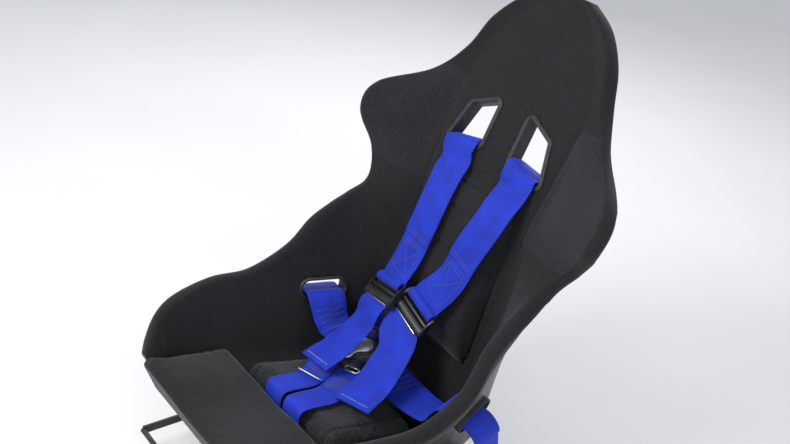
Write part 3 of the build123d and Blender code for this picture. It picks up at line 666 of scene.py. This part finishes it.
leg_loop = []
for t in np.linspace(leg_back, 0, leg_steps):
    s = Section(t)
    half, flare, deep, dip = (np.interp(t, [r[0] for r in leg_rows], [r[i] for r in leg_rows])
                              for i in (1, 2, 3, 4))
    leg_loop.append((s.floor + s.up * (deep - 1.5) / s.lean, half + flare - 3, dip, s.up))
top_y = 32 / lip.lean
for f in np.linspace(0, 1, nose_steps + 1)[1:]:
    swing = f * math.pi / 2
    leg_loop.append(by_lip(top_y - nose_radius + nose_radius * math.cos(swing),
                           2 + nose_radius * math.sin(swing), 183 - f, 12))
for rise in np.linspace(top_y - 14, apron_low, apron_steps):
    leg_loop.append(by_lip(rise, apron_out, apron_half, 12 * max(rise - apron_low, 0) / (top_y + 28)))
for f in np.linspace(0, 1, 5)[1:]:
    leg_loop.append(by_lip(apron_low - 2 * math.sin(f * math.pi), apron_out - 10 * f, apron_half, 0))
for rise in np.linspace(-30, -2, 6):
    leg_loop.append(by_lip(rise, 1, apron_half, 0))
for t in np.linspace(0, leg_back, leg_steps):
    s = Section(t)
    leg_loop.append((s.floor + s.up * 1.0 / s.lean, np.interp(t, [0, leg_back], [146, 149]), 0, s.up))
s = Section(leg_back)
for f in (0.3, 0.6, 0.85):
    leg_loop.append((s.floor + s.up * 40 * f / s.lean + np.array([0, 1.2 * math.sin(f * math.pi), 0]),
                     149 + 34 * min(f / 0.5, 1), 0, s.up))
points, spots = [], []
columns = np.concatenate([[-1, -0.985, -0.96, -0.93], np.linspace(-0.89, 0.89, 41), [0.93, 0.96, 0.985, 1]])
top_steps = leg_steps + nose_steps
for u in columns:
    shrink = 1 - 0.12 * max((abs(u) - 0.93) / 0.07, 0) ** 2
    trough = 0.5 + 0.5 * math.cos(min(abs(u) / 0.72, 1) * math.pi)
    for i, (place, half, dip, lift) in enumerate(leg_loop):
        spot = place - lift * dip * trough
        if i < top_steps + apron_steps:
            spot = spot - lift * (1 - shrink) * 40
        points.append((spot + np.array([u * half, 0, 0])) * MM)
        if i < top_steps:
            spots.append((Vector(points[-1]), u, i / (top_steps - 1)))
leg = make("leg_pad", points, loops_faces(len(columns), len(leg_loop)), knit, body=None, smooth=60)
leg_front = (0, -0.15, 0.98)
inflated(leg, leg_front, cap=5)
pulled_in(leg, spots, lambda u, v: seam_dip(abs(u) - 0.94, 1.6, 0.02), leg_front, crease=0.9)
dressed(leg, "leg_cushion")


# Webbing: straps along smooth routes, with a woven surface from their own coordinates

def smooth_route(points, step=4.0):
    """Points on a smooth curve through a route, one for each step of length."""
    points = np.array(points, float)
    result = []
    for i in range(len(points) - 1):
        a, b = points[max(i - 1, 0)], points[i]
        c, d = points[i + 1], points[min(i + 2, len(points) - 1)]
        length = np.linalg.norm((c - b)[:3])
        count = max(int(length / step), 2)
        # chord-length tangents keep the curve from overshooting where the spacing changes
        m1, m2 = ((q - p) / max(np.linalg.norm((q - p)[:3]), 1e-6) * length for p, q in ((a, c), (b, d)))
        for f in np.arange(count) / count:
            result.append(b * (2 * f ** 3 - 3 * f ** 2 + 1) + m1 * (f ** 3 - 2 * f ** 2 + f)
                          + c * (3 * f ** 2 - 2 * f ** 3) + m2 * (f ** 3 - f ** 2))
    result.append(points[-1])
    return np.array(result)


class Strap:
    """A length of webbing. Route rows: a point and the direction across."""

    def __init__(self, name, nodes, route, width, cup=0.0, ripple=0.0, thick=1.8):
        rows = smooth_route([tuple(p) + tuple(a) for p, a in route])
        self.mid, self.width, self.thick = rows[:, :3], width, thick
        along = np.gradient(self.mid, axis=0)
        along /= np.linalg.norm(along, axis=1)[:, None]
        across = rows[:, 3:]
        across = across - along * (across * along).sum(1)[:, None]
        self.across = across / np.linalg.norm(across, axis=1)[:, None]
        self.along = along
        self.face = np.cross(self.across, along)
        self.length = np.concatenate([[0], np.cumsum(np.linalg.norm(np.diff(self.mid, axis=0), axis=1))])
        self.cup, self.ripple = cup, ripple
        columns = 14
        points, spots = [], []
        for k in range(len(self.mid)):
            for face in (1, -1):
                for u in np.linspace(1, -1, columns + 1) * face:
                    edge = 1 - 0.45 * max(abs(u) - 0.93, 0) / 0.07
                    points.append(self.at(u, k, face * thick / 2 * edge))
                    spots.append(((u + 1) / 2 * width * MM, self.length[k] * MM))
        size = 2 * (columns + 1)
        self.piece = make(name, points, loops_faces(len(self.mid), size), webbing, smooth=70)
        layer = self.piece.data.uv_layers.new(name="UVMap")
        places = {self.key(p): spot for p, spot in zip(points, spots)}
        lookup = [places.get(self.key(v.co)) for v in self.piece.data.vertices]
        for loop in self.piece.data.loops:
            if lookup[loop.vertex_index]:
                layer.data[loop.index].uv = lookup[loop.vertex_index]
        if nodes:
            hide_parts(*nodes)

    def key(self, point):
        return tuple(np.round(np.array(point, float), 6))

    def at(self, u, k, lift=0.0):
        """A point on the strap: u from -1 to 1 across, k along, lift above its middle."""
        bow = self.cup * (u * u - 0.33) + self.ripple * math.sin(self.length[k] / 21.0 + u * 1.7)
        return (self.mid[k] + self.across[k] * u * self.width / 2 + self.face[k] * (lift + bow)) * MM

    def on(self, x, s, lift=0.0):
        """A point x mm across and s mm along."""
        k = int(np.clip(np.searchsorted(self.length, s), 1, len(self.length) - 1))
        f = (s - self.length[k - 1]) / max(self.length[k] - self.length[k - 1], 1e-6)
        u = x / self.width * 2
        return self.at(u, k - 1, lift) * (1 - f) + self.at(u, k, lift) * f


X = (1, 0, 0)
tilted, turned_x = (0.993, -0.12, 0), (0.96, -0.28, 0)
left_x, right_x = (0.96, -0.1, -0.26), (0.98, -0.12, 0.16)


def over_slot(side):
    """The way of a shoulder strap through its slot and down behind the seat."""
    slant, half_slant = (1, 0, -0.188 * side), (1, 0, -0.094 * side)
    return [((side * 78.6, y, z), way) for y, z, way in (
        (223.5, 589.5, X), (228, 602.5, X), (236, 606, slant), (243, 607, slant), (262, 602, slant),
        (282, 591, half_slant), (292, 572, X), (292, 350, X))]


def through_lap(side):
    """The way of a lap belt from the cushion through its slot and down beside the seat."""
    ahead, slant = (0, 1, 0), (-0.296 * side, 0.955, 0)
    return [((side * x, y, z), way) for x, y, z, way in (
        (158, 44, 204, ahead), (190.2, 41.2, 255.9, slant), (221.9, 51, 248.6, slant),
        (251.7, 60.3, 241.7, slant), (274, 60, 222, slant), (280, 62, 66, ahead))]


def under_seat(x):
    """The way of a crotch strap over the leg cushion's end and down its slot."""
    return [((x, y, z), X) for y, z in ((-164, 215.3), (-172.5, 205), (-174, 178), (-179, 142), (-182, 120))]


straps = {strap.piece.name: strap for strap in (
    Strap("shoulder_web_left", ["shoulder_strap_left"], [
        ((14.2, 109.9, 331.1), left_x), ((16.4, 113.5, 337.9), left_x), ((47, 134, 392), tilted),
        ((62, 152, 455), tilted), ((78, 173, 515), tilted), ((80, 194, 548), tilted),
        ((79, 218, 572), tilted)] + over_slot(1), 75, cup=0.5),
    Strap("shoulder_web_right", ["shoulder_strap_right"], [
        ((-76, 106.6, 333), right_x), ((-76.3, 111.8, 339), right_x), ((-68, 134, 392), tilted),
        ((-61, 152, 455), tilted), ((-59, 173, 515), tilted), ((-64, 194, 548), tilted),
        ((-73, 218, 572), tilted)] + over_slot(-1), 75, cup=0.5),
    Strap("lower_web_left", ["lower_strap_left"], [
        ((1.8, 90.1, 292.9), left_x), ((-0.4, 86.5, 286.1), left_x),
        ((-25.6, 95.2, 215.3), (0.821, -0.515, -0.247))], 50),
    Strap("lower_web_right", ["lower_strap_right"], [
        ((-74, 77.4, 299), right_x), ((-73.7, 72.2, 293), right_x),
        ((-81.1, 98.1, 224), (0.905, 0.425, -0.025))], 50),
    Strap("tail_left", ["strap_tail_left"], [
        ((1.9, 86.3, 294.8), left_x), ((-2.1, 75.4, 284.2), left_x), ((24, 52, 264), X),
        ((42, 15, 242), X), ((59, -25, 224), X), ((74, -78, 209), X)], 75, cup=1.0, ripple=0.5),
    Strap("tail_right", ["strap_tail_right"], [
        ((-74.8, 74.2, 301.7), right_x), ((-75.1, 60.9, 293.4), right_x), ((-71, 44, 264), turned_x),
        ((-71, 15, 241), turned_x), ((-69, -20, 222), turned_x), ((-66, -64, 208), (0.98, -0.2, 0))],
        75, cup=1.0, ripple=0.5),
    Strap("lap_web_left", ["lap_belt_left"], [
        ((2.4, 46.4, 194.8), (0.069, 0.97, 0.232)), ((9.9, 46.1, 193.6), (0.069, 0.97, 0.232))]
        + through_lap(1), 75),
    Strap("lap_web_right", ["lap_belt_right"], [
        ((-118.9, 42.3, 211.3), (-0.069, 0.966, 0.251)), ((-126.4, 41.5, 212.2), (-0.069, 0.966, 0.251))]
        + through_lap(-1), 75),
    Strap("crotch_web_left", ["crotch_strap_left"], [
        ((-31.6, -4.2, 187.1), (0.89, 0.456, -0.015)), ((-28.3, -10.7, 185), (0.89, 0.456, -0.015)),
        ((21.4, -92, 203.1), X)] + under_seat(29), 50, cup=0.4),
    Strap("crotch_web_right", ["crotch_strap_right"], [
        ((-84.9, -6, 194.4), (0.89, -0.395, -0.227)), ((-88.2, -12.7, 193.2), (0.89, -0.395, -0.227)),
        ((-36.6, -92, 203.1), X)] + under_seat(-29), 50, cup=0.4))}


# Sewing: rows of short stitches on the straps, and the doubled lengths under them

def stitched(name, strap, lines, up, finish, pitch=4.6, long=3.1, thick=0.55):
    """Stitches along lines of strap places (across, along), on the side that up picks."""
    points, faces = [], []
    for (x0, s0), (x1, s1) in lines:
        far = math.hypot(x1 - x0, s1 - s0)
        for i in range(max(int(far / pitch), 1)):
            start = (i + 0.5) * pitch - long / 2
            side = np.array([-(s1 - s0), x1 - x0]) / far
            faces += [tuple(len(points) + k for k in face) for face in loops_faces(4, 5)]
            for f, rise in ((0, -0.5), (0.2, 0.35), (0.8, 0.35), (1, -0.5)):
                g = (start + long * f) / far
                x, s = x0 + (x1 - x0) * g, s0 + (s1 - s0) * g
                for a in np.linspace(0, 2 * math.pi, 6)[:-1]:
                    dx, dz = math.cos(a) * thick, math.sin(a) * thick
                    points.append(strap.on(x + side[0] * dx, s + side[1] * dx,
                                           up * (strap.thick / 2 + rise + dz)))
    piece = make(name, points, faces, finish)


def doubled(name, strap, start, end, up, wide, thick=1.7):
    """A second length of webbing that lies on a strap."""
    rows = []
    rise = up * ((strap.thick + thick) / 2 + 0.05)
    for s in np.linspace(start, end, max(int((end - start) / 4), 2)):
        k = float(np.interp(s, strap.length, np.arange(len(strap.length))))
        i = min(int(k), len(strap.length) - 2)
        f = k - i
        mid, face, across = (rows_of[i] * (1 - f) + rows_of[i + 1] * f
                             for rows_of in (strap.mid, strap.face, strap.across))
        rows.append((tuple(mid + face * rise), tuple(across)))
    return Strap(name, [], rows, strap.width * wide, cup=strap.cup, ripple=strap.ripple, thick=thick)


def box_cross(half, start, end):
    """The lines of a sewn box with its cross."""
    corners = [(-half, start), (half, start), (half, end), (-half, end)]
    order = ((0, 1), (1, 2), (2, 3), (3, 0), (0, 2), (1, 3))
    return [(corners[i], corners[j]) for i, j in order]


def zigzag(half, start, end, count):
    """The lines of a bar of zigzag stitches across a strap."""
    marks = [(half if i % 2 else -half, start + (end - start) * i / count) for i in range(count + 1)]
    return list(zip(marks[:-1], marks[1:]))


# the ends of the box on the shoulder strap, and where the lap belt's doubled end is sewn
for side, name, upper, lower, start in ((1, "left", 112, 26, 16), (-1, "right", 96, 22, 30)):
    web = straps[f"shoulder_web_{name}"]
    over = doubled(f"shoulder_double_{name}", web, upper, 330, 1, wide=1.02)
    stitched(f"shoulder_seams_{name}", over, [((-32, 5), (32, 5)), ((-32, 11), (32, 11))], 1, thread)
    stitched(f"shoulder_box_{name}", web, box_cross(26, lower, upper - 14)
             + [((-26, upper - 8), (26, upper - 8))], 1, thread)
    tail = straps[f"tail_{name}"]
    end = tail.length[-1]
    fold = doubled(f"tail_fold_{name}", tail, end - 34, end - 0.6, -1, wide=0.99)
    stitched(f"tail_seam_{name}", fold, [((-31, 24), (31, 24))], -1, pale_thread, pitch=5.4)
    lap = straps[f"lap_web_{name}"]
    fold = doubled(f"lap_double_{name}", lap, start - 12, start + 56, -side, wide=0.985)
    stitched(f"lap_box_{name}", fold, zigzag(30, 6, 62, 9), -side, thread)
    crotch = straps[f"crotch_web_{name}"]
    fold = doubled(f"crotch_double_{name}", crotch, 6, 92, -1, wide=0.97)
    stitched(f"crotch_box_{name}", fold, zigzag(19, 26, 80, 12) + [((-20, 84), (20, 84))], -1, thread)


# Adjusters: a rolled loop of the shoulder strap round the upper bar, cheeks, a grip bar, a folded cover and a
# bright lower edge. Places on an adjuster are across it, along the strap and out of it.

def bar(name, plate, half, y, z, radius, finish, flat=1.0, body="seat"):
    """A round bar across a plate, with rounded ends."""
    ends = [(-half, 0.55), (0.35 * radius - half, 0.88), (0.8 * radius - half, 1)]
    ends += [(-x, share) for x, share in ends[::-1]]
    around = [2 * math.pi * i / 12 for i in range(12)]
    rings = [[plate.at(x, y - math.cos(a) * radius * share, z + math.sin(a) * flat * radius * share)
              for a in around] for x, share in ends]
    return lofted(name, rings, finish, body)


roll_way = [(0, 29.5, 2.4), (0, 27.8, 5.4), (0, 24, 8.4), (0, 18.6, 9.2), (0, 13.6, 6.8), (0, 12, 1.6),
            (0, 13.6, -3.2), (0, 18.4, -5.4), (0, 24.4, -4.6), (0, 31, -2.4)]
cheek = [(-23, -3), (-25, 1), (-24, 6), (-18, 8.5), (-8, 7.5), (0, 8.5), (10, 7.5), (17, 5), (22, 2),
         (22, -2.5)]
cover = [(-5, 4.5), (-8, 7.4), (-13, 9.2), (-18, 9.4), (-22.5, 7.2), (-23.5, 4.8), (-22.2, 4.6),
         (-21.2, 6.2), (-17.6, 7.9), (-13.2, 7.7), (-9, 6.1), (-6.2, 3.6)]
adjusters = {
    "left": ((8, 100, 312), (0.960384, -0.10004, -0.260104), (0.029838, -0.891067, 0.452891)),
    "right": ((-75, 92, 316), (0.979804, -0.119976, 0.159968), (-0.195122, -0.748575, 0.63369)),
}
for name, (where, across, normal) in adjusters.items():
    face = Plate(where, across, normal)
    Strap(f"adjuster_roll_{name}", [], [(tuple(face.at(*p) / MM), across) for p in roll_way], 77, thick=2.6)
    parts = []
    for step in (-1, 1):
        rings = [[face.at(step * x, y, z) for y, z in cheek] for x in (41.2, 45)]
        parts.append(lofted(f"cheek_{step}", rings, black_steel, body=None))
    rings = [[face.at(x, y, z) for y, z in cover] for x in (-41, 41)]
    parts += [bar("upper", face, 44, 19, 0, 3.2, black_steel, body=None),
              bar("lower", face, 44, -20, 1, 3.4, black_steel, body=None),
              bar("grip", face, 42, 1, 2.4, 4.4, black_steel, flat=0.8, body=None),
              lofted("cover", rings, black_steel, body=None)]
    piece = merged(f"adjuster_{name}_frame", parts)
    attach(piece, "seat")
    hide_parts(f"adjuster_{name}")
    edge = bar(f"adjuster_edge_{name}", face, 34, -23.4, 6.4, 1.5, bright_steel)


# Buckle: a chamfered housing with six mouths for the tongues, a silver cap and a teardrop lever

def turned(name, plate, profile, finish, body="seat", count=56):
    """A turned form about a plate's normal. Profile rows are radius and height, from axis to axis."""
    angles = [2 * math.pi * i / count for i in range(count)]
    points = [plate.at(r * math.cos(a), r * math.sin(a), z) for a in angles for r, z in profile]
    size, faces = len(profile), []
    for i in range(count):
        for j in range(size - 1):
            a, b = i * size + j, (i + 1) % count * size + j
            faces.append((a, b, b + 1, a + 1))
    return make(name, points, faces, finish, body, 40)


pitch, lean = math.radians(14), math.radians(8)
buckle_across = (math.cos(lean), math.sin(pitch) * math.sin(lean), -math.cos(pitch) * math.sin(lean))
buckle_normal = (math.sin(lean), -math.sin(pitch) * math.cos(lean), math.cos(pitch) * math.cos(lean))
buckle = Plate((-58, 48, 206), buckle_across, buckle_normal)
profile = [(0, -8), (27, -8), (29.5, -7), (31, -5), (31, 0.2), (30.2, 1.6), (28.4, 2.0), (28.0, 2.8),
           (27.4, 5.2), (25.6, 7.4), (23.4, 8.1), (21.2, 7.8), (20.4, 7.0), (19.4, 7.0), (18.6, 7.9),
           (0, 7.9)]
housing = turned("buckle_housing", buckle, profile, buckle_grey)
# each tongue's name, its direction round the buckle in degrees and its width
tongues = (("shoulder_tongue_left", 56, 46), ("shoulder_tongue_right", 114, 46), ("lap_tongue_left", -4, 60),
           ("lap_tongue_right", 184, 60), ("crotch_tongue_left", 296, 34), ("crotch_tongue_right", 244, 34))
for name, angle, wide in tongues:
    a, half = math.radians(angle), wide / 2
    along = buckle.x * math.cos(a) + buckle.y * math.sin(a)
    across = np.cross(along, buckle.normal)
    face = Plate(buckle.origin + along * 54 - buckle.normal * 2, across, buckle.normal)
    mouth = Plate(buckle.origin + along * 31 - buckle.normal * 2, across, along)
    cut(housing, mouth, oblong(11.5, 2.6, 1.6, 4), -4, 6)
    profile = [(0, -1), (0.5, -1.5), (4.6, -1.5), (5.3, -0.9), (5.3, 0.9), (4.6, 1.5), (0.5, 1.5), (0, 1)]
    ring = profile_ring(f"{name}_frame", face, oblong(half - 5, 2.6, 2.4, 6), profile, bright_steel)
    stem = [(4 - half, -5.5), (-10, -9), (-9.4, -22), (9.4, -22), (10, -9), (half - 4, -5.5)]
    rings = [[face.at(x, y, z) for x, y in stem] for z in (-1.45, 1.45)]
    blade = lofted(f"{name}_blade", rings, bright_steel)
    piece = merged(f"{name}_plate", [ring, blade])
    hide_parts(name)
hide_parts("buckle_body")

profile = [(0, 8.7), (15.6, 8.7), (17, 9.6), (17, 12), (16.2, 13.3), (14.6, 13.9), (13.9, 13.2), (13.2, 13.2),
           (12.6, 14.1), (11.4, 14.6), (9.6, 14.5), (9.2, 14.1), (8.4, 14.1), (8, 14.5), (0, 14.7)]
cap = turned("cap", buckle, profile, satin_steel, body=None)
# the lever's blade: its place along, half width and height, and the rounding across it
rows = [(-8, 13.4, 12.0), (-13, 10.8, 12.0), (-17, 7.9, 12.1), (-22, 6.3, 12.4), (-28, 5.9, 12.8),
        (-33, 6.9, 13.2), (-37, 8.2, 13.4), (-41, 8.6, 13.4), (-45, 7.6, 13.4), (-47.6, 5.2, 13.3),
        (-48.5, 2.2, 13.2)]
blade_round = ((-1, 0), (-0.92, 1.2), (-0.7, 1.8), (0, 2.2), (0.7, 1.8), (0.92, 1.2), (1, 0), (0.8, -1.6),
               (-0.8, -1.6))
rings = [[buckle.at(x * half, y, z + rise) for x, rise in blade_round] for y, half, z in rows]
blade = lofted("blade", rings, satin_steel, body=None, smooth=50)
hole = [(3.6 * math.cos(a), 3.6 * math.sin(a)) for a in np.linspace(0, 2 * math.pi, 17)[:-1]]
cut(blade, Plate(buckle.at(0, -40.5) / MM, buckle.x, buckle.normal), hole, 5, 20)
lever = merged("lever", [cap, blade])
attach(lever, "buckle_lever")
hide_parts("buckle_lever")


# Crotch straps: a bright plate across them at the buckle, and a slider on the far strap

def strap_plate(strap, s, rise, tip):
    """A place over a strap's outer face for a plate: x across, y along, tipped up about its width."""
    k = int(np.argmin(abs(strap.length - s)))
    normal = -strap.face[k]
    along = np.cross(normal, strap.across[k])
    tipped = normal * math.cos(tip) + along * math.sin(tip)
    return Plate(strap.mid[k] + normal * rise, strap.across[k], tipped)


for name, s, rise, tip, wide, deep in (("crotch_plate", 19, 7, 1.0, 50, 15),
                                       ("crotch_slider", 104, 5, 0.55, 55, 19)):
    face = strap_plate(straps["crotch_web_right"], s, rise, tip)
    edge = (deep - 4.8) / 2
    profile = [(0, -0.6), (0.4, -1), (edge - 0.6, -1), (edge, -0.4), (edge, 0.4), (edge - 0.6, 1), (0.4, 1),
               (0, 0.6)]
    piece = profile_ring(name, face, oblong(wide / 2 - 8, 2.4, 2.2, 6), profile, satin_steel)


# CAD nodes that keep their shape get their finish here
words_of = ((shell_finish, ("seat_shell",)), (buckle_grey, ("buckle_body",)),
            (black_steel, ("release_bar", "adjuster", "side_bracket")),
            (zinc_steel, ("floor_rail", "slide_runner", "side_bolts")),
            (bright_steel, ("buckle_lever", "tongue", "anchor")), (black_plastic, ("",)))
for node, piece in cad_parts.items():
    piece.data.materials.clear()
    piece.data.materials.append(next(finish for finish, words in words_of if any(w in node for w in words)))


# Camera, floor and light

azimuth, elevation, roll_angle = (math.radians(a) for a in (48.69, 27.0, 8.24))
back_way = np.array([math.sin(azimuth) * math.cos(elevation), -math.cos(azimuth) * math.cos(elevation),
                     math.sin(elevation)])
right = np.cross(-back_way, (0, 0, 1))
right /= np.linalg.norm(right)
upward = np.cross(right, -back_way)
camera_x = right * math.cos(roll_angle) + upward * math.sin(roll_angle)
camera_y = -right * math.sin(roll_angle) + upward * math.cos(roll_angle)
# the focal length and the shift of the aimed point from the picture's middle, in pixels of its width
picture_wide, focal, shift_x, shift_y = 790, 996.78, -6.2, 29.14
aim, distance = np.array([0, 50, 450]), 1751.97
spot = aim + back_way * distance + (camera_x * shift_x + camera_y * shift_y) / focal * distance
lens = bpy.data.cameras.new("camera")
lens.sensor_width = 36
lens.lens = focal / picture_wide * lens.sensor_width
eye = placed("camera", lens)
eye.matrix_world = Matrix([(camera_x[i], camera_y[i], back_way[i], spot[i] * MM) for i in range(3)]
                          + [(0, 0, 0, 1)])
bpy.context.scene.camera = eye

floor = bpy.data.meshes.new("floor")
floor.from_pydata([(-9, -9, 0), (9, -9, 0), (9, 9, 0), (-9, 9, 0)], [], [(0, 1, 2, 3)])
ground = placed("floor", floor)
paper = Finish("pale_floor")
paper.drive(base_color=paper.mix(paper.noise(0.6, 3), (0.6, 0.6, 0.6), (0.66, 0.66, 0.65)), roughness=0.85)
floor.materials.append(paper.material)

for name, where, target, size, power in (("key", (-0.4, -1.9, 2.3), (0, -0.1, 0.3), 1.0, 60),
                                         ("fill", (2.2, -1.0, 1.6), (0, 0.1, 0.4), 2.0, 30),
                                         ("rim", (-1.6, 1.6, 2.2), (0, 0.2, 0.5), 1.5, 40)):
    light = bpy.data.lights.new(name, "AREA")
    light.size, light.energy = size, power
    lamp = placed(name, light)
    lamp.location = where
    lamp.rotation_euler = (Vector(target) - Vector(where)).to_track_quat("-Z", "Y").to_euler()

world = bpy.data.worlds.new("studio")
bpy.context.scene.world = world
world.use_nodes = True
background = world.node_tree.nodes["Background"].inputs
background["Color"].default_value = (0.9, 0.93, 1.0, 1)
background["Strength"].default_value = 0.8
bpy.context.scene.view_settings.view_transform = "Standard"
